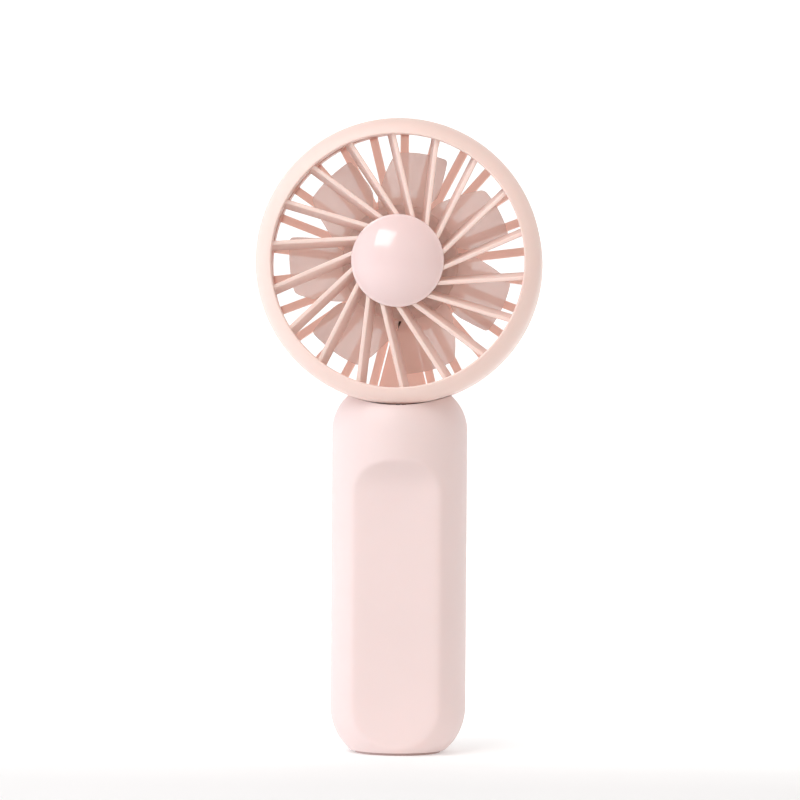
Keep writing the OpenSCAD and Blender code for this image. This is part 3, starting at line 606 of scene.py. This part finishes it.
def build_handle():
    front = handle_shell("handle_front_skin", -1)
    clean(front, 32)
    finish_piece(front, shell_mat, ROOT, "shell_plastic", "handle_front_shell")

    rear = handle_shell("handle_rear_skin", 1)
    button_low, button_high = mm_box("power_button")
    button_z = (button_low.z + button_high.z) / 2
    socket_low, socket_high = mm_box("usb_c_socket")
    pins_low, pins_high = mm_box("light_guide")
    pins_z = (pins_low.z + pins_high.z) / 2
    holes = [circle_outline(0, button_z, 4.8),
             slot_outline((socket_low.z + socket_high.z) / 2,
                          socket_high.x - socket_low.x + 0.4, socket_high.z - socket_low.z + 0.4)]
    holes += [circle_outline(x, pins_z, 0.7, 32) for x in (-4.5, -1.5, 1.5, 4.5)]
    for outline in holes:
        combine(rear, prism_object(outline, FLAT_D - WALL - 2, FLAT_D + 4), "DIFFERENCE")
    clean(rear, 32)
    finish_piece(rear, shell_mat, ROOT, "shell_plastic", "handle_rear_shell")


# ======== Head ========

VANE_COUNT = 18
VANE_PHASE = 12.3
VANE_LAG = 21.0
VANE_W = 19.2
VANE_DEPTH = 7.0
VANE_T = 1.25
VANE_LEAN = 1.5
BOSS_R = 13.2
BOSS_T = 1.4
GROOVE = (39.3, 40.6, 16.0)


def ring_profile():
    """Section of the front ring: a small fillet at the opening, then one big round to the side."""
    lip = 0.4
    centre_r, centre_w = HEAD_R - RING_ROUND, RING_TOP_W - RING_ROUND
    start = math.degrees(math.acos((OPENING_R + lip - centre_r) / RING_ROUND))
    edge_w = centre_w + RING_ROUND * math.sin(math.radians(start))
    points = [(FLARE_R, DRUM_FRONT_W + 0.05), (OPENING_R, LIP_W)]
    points += arc(OPENING_R + lip, edge_w - lip, lip, 180, 95, 8)
    points += arc(centre_r, centre_w, RING_ROUND, start - 1, 0, 40)
    points += [(HEAD_R, DRUM_FRONT_W + 0.25), (HEAD_R - 0.2, DRUM_FRONT_W + 0.05)]
    inner, outer, depth = GROOVE
    points += [(outer, DRUM_FRONT_W + 0.05), (outer, depth), (inner, depth), (inner, DRUM_FRONT_W + 0.05)]
    return points


def rounded_section(front_t, back_t, depth, lean, r):
    """Section of a vane as (across, depth) points: rounded front corners, leaning to the back."""
    half, back = front_t / 2, back_t / 2
    points = arc(half - r, -r, r, 0, 90, 5) + arc(-half + r, -r, r, 90, 180, 5)
    return points + [(lean - back, -depth + 0.2), (lean - back + 0.2, -depth),
                     (lean + back - 0.2, -depth), (lean + back, -depth + 0.2)]


def bar(start, end, section, w):
    """A straight bar between two points of the head's plane, with the given section."""
    run = Vector(end) - Vector(start)
    run.normalize()
    across = Vector((-run.y, run.x))
    verts = []
    for p in (start, end):
        for a, d in section:
            verts.append(head_point(p[0] + across.x * a, p[1] + across.y * a, w + d))
    n = len(section)
    faces = [list(range(n)), list(range(2 * n - 1, n - 1, -1))]
    faces += [(k, (k + 1) % n, n + (k + 1) % n, n + k) for k in range(n)]
    return make_object("bar", verts, faces, 50)


def build_front_grille():
    ring = head_lathe("ring", ring_profile(), steps=256)
    boss = head_lathe("boss", [
        (0, VANE_W - VANE_DEPTH - 0.3), (BOSS_R, VANE_W - VANE_DEPTH - 0.3), (BOSS_R, DOME_W),
        (BOSS_R - BOSS_T, DOME_W), (BOSS_R - BOSS_T, VANE_W - VANE_DEPTH + 1.1),
        (0, VANE_W - VANE_DEPTH + 1.1)], steps=128, loop=False)
    section = rounded_section(VANE_T, 1.0, VANE_DEPTH, VANE_LEAN, 0.35)
    vanes = []
    for k in range(VANE_COUNT):
        outer_a = math.radians(VANE_PHASE + 360 / VANE_COUNT * k)
        inner_a = outer_a - math.radians(VANE_LAG)
        outer = Vector((math.cos(outer_a), math.sin(outer_a))) * OPENING_R
        inner = Vector((math.cos(inner_a), math.sin(inner_a))) * DOME_R
        run = (outer - inner).normalized()
        vanes.append(bar(inner - run * 1.2, outer + run * 1.8, section, VANE_W))
    grille = join("grille_vanes", vanes)
    combine(grille, boss, "UNION")
    combine(grille, ring, "UNION")
    grille.name = "front_grille_skin"
    clean(grille, 32)
    finish_piece(grille, grille_mat, ROOT, "grille_plastic", "front_grille")


RIB_COUNT = 26
RIB_PHASE = 6.8
RIB_T = 2.5
RIB_SOFT = 0.4
RIB_FRONT_W = -14.5
RIB_BACK_W = -18.0
RIB_IN_R = 19.5
PLATE_R = 20.5
PLATE_FRONT_W = -16.2
DUCT = ((20.0, 3.0), (39.6, 7.9))
DUCT_WALL = 1.2
DUCT_TOP_W = -13.2
DUCT_END_R = 38.4
WIRE_WAY_HALF = 1.8
REAR_SCREW_ANGLES = (250, 290)
REAR_SCREW_R = 39.2
SCREW_BOSS_R = 2.2
SCREW_HEAD_R = 1.7


def back_surface(r):
    """Depth of the head's rounded back at a radius."""
    over = max(r - (HEAD_R - BACK_ROUND), 0)
    return -BACK_W + BACK_ROUND - math.sqrt(BACK_ROUND ** 2 - over ** 2)


def rib(angle):
    """A rib with soft edges. Its outer end follows the round of the head's back."""
    a = math.radians(angle)
    out, across = Vector((math.cos(a), math.sin(a))), Vector((-math.sin(a), math.cos(a)))
    half, front = RIB_T / 2, RIB_FRONT_W
    soft, bevel = RIB_SOFT, 0.3 * RIB_SOFT
    verts, rows = [], (RIB_IN_R, 36.0, 37.0, 38.0, 38.8, DRUM_IN_R, DRUM_IN_R + 0.5)
    for r in rows:
        back = max(RIB_BACK_W, back_surface(r) + 0.05)
        section = [(-half, front - soft), (-half, back + soft), (-half + bevel, back + bevel),
                   (-half + soft, back), (half - soft, back), (half - bevel, back + bevel),
                   (half, back + soft), (half, front - soft), (half - bevel, front - bevel),
                   (half - soft, front), (-half + soft, front), (-half + bevel, front - bevel)]
        for t, w in section:
            p = out * r + across * t
            verts.append(head_point(p.x, p.y, w))
    n = len(section)
    faces = [list(range(n)), list(range(len(verts) - 1, len(verts) - n - 1, -1))]
    for i in range(len(rows) - 1):
        low, high = i * n, (i + 1) * n
        faces += [(low + k, low + (k + 1) % n, high + (k + 1) % n, high + k) for k in range(n)]
    return make_object("rib", verts, faces, 50)


def duct_prism(inset, end_r, w_low, w_high):
    """The wire duct's wedge between two depths."""
    (in_r, in_half), (out_r, out_half) = DUCT
    end_half = in_half + (out_half - in_half) * (end_r - in_r) / (out_r - in_r)
    outline = [(-in_half + inset, HEAD_Z - in_r), (-end_half + inset, HEAD_Z - end_r),
               (end_half - inset, HEAD_Z - end_r), (in_half - inset, HEAD_Z - in_r)]
    return prism_object(outline, -w_high, -w_low)


def build_rear_grille():
    seam_w = DRUM_BACK_W - 0.05
    centre_r, centre_w = HEAD_R - BACK_ROUND, -BACK_W + BACK_ROUND
    turn = math.degrees(math.acos((DRUM_IN_R + 0.4 - centre_r) / BACK_ROUND))
    profile = [(DRUM_IN_R, seam_w), (DRUM_IN_R, back_surface(DRUM_IN_R + 0.4) + 0.4)]
    profile += arc(centre_r, centre_w, BACK_ROUND, -turn, 0, 24)
    profile += [(HEAD_R, seam_w - 0.25), (HEAD_R - 0.2, seam_w)]
    grille = head_lathe("rear_ring", profile, steps=256)
    ribs = [rib(RIB_PHASE + 360 / RIB_COUNT * k) for k in range(RIB_COUNT)]
    plate = head_lathe("plate", [(0, -BACK_W)] + arc(PLATE_R - 0.7, -BACK_W + 0.7, 0.7, -90, 0, 6) + [
        (PLATE_R, RIB_FRONT_W - 0.3), (PLATE_R - 1.2, RIB_FRONT_W - 0.3), (PLATE_R - 1.2, PLATE_FRONT_W),
        (0, PLATE_FRONT_W)], steps=160, loop=False)
    duct = duct_prism(0, DRUM_IN_R + 0.1, -BACK_W, DUCT_TOP_W)
    soften(duct, 0.3)
    pieces = join("ribs", ribs)
    combine(pieces, plate, "UNION")
    combine(pieces, duct, "UNION")
    combine(pieces, duct_prism(DUCT_WALL, DUCT_END_R, -BACK_W + DUCT_WALL, DUCT_TOP_W + 1), "DIFFERENCE")
    combine(grille, pieces, "UNION")
    for angle in REAR_SCREW_ANGLES:
        a = math.radians(angle)
        x, up = REAR_SCREW_R * math.cos(a), REAR_SCREW_R * math.sin(a)
        boss = make_object("boss", *revolve(
            [(0, -16), (SCREW_BOSS_R, -16), (SCREW_BOSS_R, -11.6), (0, -11.6)],
            lambda px, py, d, x=x, up=up: head_point(x + px, up + py, d), 48, False))
        combine(grille, boss, "UNION")
        sink = make_object("sink", *revolve(
            [(0, -20), (SCREW_HEAD_R, -20), (SCREW_HEAD_R, -14), (0, -14)],
            lambda px, py, d, x=x, up=up: head_point(x + px, up + py, d), 48, False))
        combine(grille, sink, "DIFFERENCE")
    wire_way = box_object((-WIRE_WAY_HALF, -DUCT_TOP_W - 1, HEAD_Z - PLATE_R - 0.5),
                          (WIRE_WAY_HALF, -PLATE_FRONT_W, HEAD_Z - PLATE_R + 2.5))
    combine(grille, wire_way, "DIFFERENCE")
    grille.name = "rear_grille_skin"
    clean(grille, 32)
    finish_piece(grille, rear_mat, ROOT, "grille_plastic", "rear_grille")


def build_dome():
    height = DOME_TOP_W - DOME_W
    curve = (DOME_R ** 2 + height ** 2) / (2 * height)
    centre_w = DOME_TOP_W - curve
    lip = 0.5
    rim_angle = math.degrees(math.acos((DOME_R - lip) / curve))
    rim_w = centre_w + curve * math.sin(math.radians(rim_angle))
    profile = [(curve * math.cos(a), centre_w + curve * math.sin(a))
               for a in np.radians(np.linspace(90, rim_angle + 1, 40))]
    profile[0] = (0, DOME_TOP_W)
    profile += arc(DOME_R - lip, rim_w - lip, lip, 70, 0, 8)
    profile += [(DOME_R, DOME_W), (DOME_R - 1.6, DOME_W), (DOME_R - 1.6, DOME_W - 2.9),
                (DOME_R - 2.9, DOME_W - 2.9), (DOME_R - 2.9, DOME_W + 1), (0, DOME_W + 4.5)]
    dome = head_lathe("dome_skin", profile, steps=160, loop=False)
    finish_piece(dome, dome_mat, ROOT, "dome_gloss", "dome_cap")


# ======== Impeller ========

BLADE_COUNT = 7
TIP_R = 32.9
HUB_R = 17.0
BLADE_T = 1.1
BLADE_MID = 33.0
BLADE_PITCH = 30.3
BLADE_CHORD = 23.75
CAMBER_R = 30.0
BLADE_MID_W = 2.5
# Edges of a blade seen from the front: radius against angle
LOW_EDGE = ((16.0, 16.0), (18.5, 13.0), (21.5, 8.6), (24.0, 8.9), (26.5, 10.4), (33.5, 13.6))
HIGH_EDGE = ((16.0, 63.0), (20.4, 59.5), (25.7, 51.0), (28.9, 47.0), (33.5, 41.0))
CORNER_R = 0.9


def edge_angle(edge, r):
    return float(np.interp(r, [p[0] for p in edge], [p[1] for p in edge]))


def camber_w(t):
    """Depth of the blade's middle surface at a tangential distance from its mid line."""
    pitch = math.radians(BLADE_PITCH)
    centre_d = math.sqrt(CAMBER_R ** 2 - BLADE_CHORD ** 2 / 4)
    centre_t, centre_w = centre_d * math.sin(pitch), BLADE_MID_W + centre_d * math.cos(pitch)
    return centre_w - math.sqrt(CAMBER_R ** 2 - (t - centre_t) ** 2)


def blade_mesh(turn):
    """A cambered blade with rounded tip corners and thin, soft edges."""
    chord_steps, span_steps = 28, 26
    root_r = HUB_R - 0.9
    mid_width = math.radians(27) * TIP_R
    rows = []
    for i in range(span_steps + 1):
        row = []
        for j in range(chord_steps + 1):
            s = 0.5 - 0.5 * math.cos(math.pi * j / chord_steps)
            v = math.sin(0.5 * math.pi * i / span_steps)
            from_corner = min(s, 1 - s) * mid_width
            cut = CORNER_R - math.sqrt(max(CORNER_R ** 2 - max(CORNER_R - from_corner, 0) ** 2, 0))
            r = root_r + v * (TIP_R - cut - root_r)
            low, high = edge_angle(LOW_EDGE, r), edge_angle(HIGH_EDGE, r)
            a = math.radians(low + s * (high - low))
            t = r * math.sin(a - math.radians(BLADE_MID))
            thin = min(s, 1 - s) * 2
            half = BLADE_T / 2 * (0.3 + 0.7 * math.sqrt(min(1, thin * 3))) * (1 - 0.35 * v)
            row.append((r, a, camber_w(t), half))
        rows.append(row)
    verts, faces = [], []
    turned = math.radians(turn)
    for sign in (1, -1):
        for row in rows:
            for r, a, w, half in row:
                verts.append(head_point(r * math.cos(a + turned), r * math.sin(a + turned),
                                        w + sign * half * 1.15))
    wide = chord_steps + 1
    sheet = wide * (span_steps + 1)
    for i in range(span_steps):
        for j in range(chord_steps):
            p = i * wide + j
            faces.append((p, p + 1, p + wide + 1, p + wide))
            faces.append((sheet + p, sheet + p + wide, sheet + p + wide + 1, sheet + p + 1))
    rim = list(range(wide))
    rim += [i * wide + chord_steps for i in range(1, span_steps + 1)]
    rim += [span_steps * wide + j for j in range(chord_steps - 1, -1, -1)]
    rim += [i * wide for i in range(span_steps - 1, 0, -1)]
    for k, p in enumerate(rim):
        q = rim[(k + 1) % len(rim)]
        faces.append((p, sheet + p, sheet + q, q))
    return make_object("blade", verts, faces, 60)


def build_impeller():
    """The hub with its sleeve for the rotor cup, and seven blades."""
    hub_front, hub_back, wall, plate, corner = 8.0, -10.0, 1.4, 1.5, 3.0
    cup_r, sleeve, cup_front = 12.0, 1.2, 1.0
    profile = [(0, hub_front)]
    profile += arc(HUB_R - corner, hub_front - corner, corner, 90, 0, 14)
    profile += [(HUB_R, hub_back + 0.3), (HUB_R - 0.3, hub_back), (HUB_R - wall + 0.3, hub_back),
                (HUB_R - wall, hub_back + 0.3), (HUB_R - wall, hub_front - plate - corner / 2),
                (cup_r + sleeve, hub_front - plate - corner / 2), (cup_r + sleeve, -8), (cup_r, -8),
                (cup_r, cup_front), (1.0, cup_front), (1.0, 6.0), (0, 6.0)]
    hub = head_lathe("hub", profile, steps=160, loop=False)
    blades = [blade_mesh(360 / BLADE_COUNT * k) for k in range(BLADE_COUNT)]
    for blade in blades:
        combine(hub, blade, "UNION")
    hub.name = "impeller_skin"
    clean(hub, 38)
    finish_piece(hub, blade_mat, ROTOR, "blade_plastic", "impeller")


# ======== CAD nodes that stay ========

def dress_nodes():
    for mat, names in NODE_MATERIALS.items():
        for name in names:
            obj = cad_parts[name]
            paint(obj, mat)
            shade(obj, 32)


# ======== Studio ========

# How much the sweep shines under the object and behind it, and how much the room does
FLOOR_GLOW = 0.12
SWEEP_GLOW = 0.6
WORLD_LIGHT = 0.36
SWEEP_REACH = 12.0


def build_studio():
    """A white sweep: floor, cove and back wall, lit from within so that it reads as plain white."""
    cove_y, cove_r, wall_top, half = 1.4, 0.8, 3.2, SWEEP_REACH
    line = [(-SWEEP_REACH, 0.0)]
    line += [(cove_y + cove_r * math.sin(a), cove_r - cove_r * math.cos(a))
             for a in np.linspace(0, math.pi / 2, 24)]
    line += [(cove_y + cove_r, wall_top)]
    mesh = bpy.data.meshes.new("sweep")
    verts = [(x, y, z) for y, z in line for x in (-half, half)]
    mesh.from_pydata(verts, [], [(2 * k, 2 * k + 1, 2 * k + 3, 2 * k + 2) for k in range(len(line) - 1)])
    sweep = bpy.data.objects.new("sweep", mesh)
    bpy.context.scene.collection.objects.link(sweep)
    shade(sweep, 60)
    mat, nodes, links, shader = new_material("sweep_white")
    shader.inputs["Roughness"].default_value = 0.9
    shader.inputs["Specular IOR Level"].default_value = 0.0
    shader.inputs["Emission Color"].default_value = (1, 1, 1, 1)
    place = nodes.new("ShaderNodeTexCoord")
    split = nodes.new("ShaderNodeSeparateXYZ")
    links.new(place.outputs["Object"], split.inputs["Vector"])
    behind = ramp(nodes, links, split.outputs["Y"], -0.1, 0.15, FLOOR_GLOW, SWEEP_GLOW)
    links.new(behind, shader.inputs["Emission Strength"])
    near = ramp(nodes, links, split.outputs["Y"], -0.65, -0.2, 0.0, 1.0)
    grey, white = (0.42, 0.42, 0.42, 1), (0.8, 0.8, 0.8, 1)
    links.new(tint(nodes, links, near, grey, white), shader.inputs["Base Color"])
    sweep.data.materials.append(mat)

    world = bpy.data.worlds.new("studio")
    world.use_nodes = True
    background = world.node_tree.nodes["Background"]
    background.inputs["Color"].default_value = (1.0, 0.965, 0.95, 1)
    background.inputs["Strength"].default_value = WORLD_LIGHT
    bpy.context.scene.world = world


def softbox(name, place, target, size, power, colour, mirrored):
    """A rectangular light turned to a target. Only a mirrored one shows in glossy surfaces."""
    data = bpy.data.lights.new(name, "AREA")
    data.shape = "RECTANGLE"
    data.size, data.size_y = size
    data.energy = power
    data.color = colour
    obj = bpy.data.objects.new(name, data)
    obj.location = place
    obj.rotation_euler = (Vector(target) - Vector(place)).to_track_quat("-Z", "Y").to_euler()
    obj.visible_glossy = mirrored
    bpy.context.scene.collection.objects.link(obj)


def build_lights():
    middle = (0, 0, 0.11)
    warm, cool = (1.0, 0.98, 0.97), (0.8, 0.91, 1.0)
    softbox("key", (-0.56, -0.8, 1.08), middle, (0.8, 0.75), 7.2, (1.0, 0.99, 0.99), True)
    softbox("left_wall", (-1.2, -0.3, 0.1), middle, (0.7, 0.5), 8.5, cool, False)
    softbox("right_wall", (1.2, -1.1, 0.4), middle, (0.9, 0.9), 3.3, (1.0, 0.9, 0.8), False)
    softbox("top_wall", (0.0, -0.6, 1.6), middle, (1.0, 1.0), 4.0, warm, False)
    softbox("front_wall", (0.0, -2.0, 0.6), middle, (2.4, 2.4), 12.5, warm, False)
    softbox("back_wall", (0.0, 1.3, 0.5), middle, (1.0, 0.8), 1.5, warm, False)


def build_camera():
    distance, height, azimuth, roll = 1.0, 0.104, math.radians(3.0), math.radians(0.4)
    data = bpy.data.cameras.new("camera")
    data.sensor_width = 36
    data.lens = 152
    data.clip_start = 0.01
    camera = bpy.data.objects.new("camera", data)
    place = Vector((math.sin(azimuth) * distance, -math.cos(azimuth) * distance, height))
    camera.location = place
    look = Vector((0, 0, height)) - place
    camera.rotation_euler = look.to_track_quat("-Z", "Y").to_euler()
    camera.rotation_euler.rotate_axis("Z", roll)
    bpy.context.scene.collection.objects.link(camera)
    bpy.context.scene.camera = camera


def set_colour():
    settings = bpy.context.scene.view_settings
    settings.view_transform = "Standard"
    settings.look = "None"
    settings.exposure = 0.0


build_camera()
dress_nodes()
build_handle()
build_front_grille()
build_rear_grille()
build_dome()
build_impeller()
build_studio()
build_lights()
set_colour()
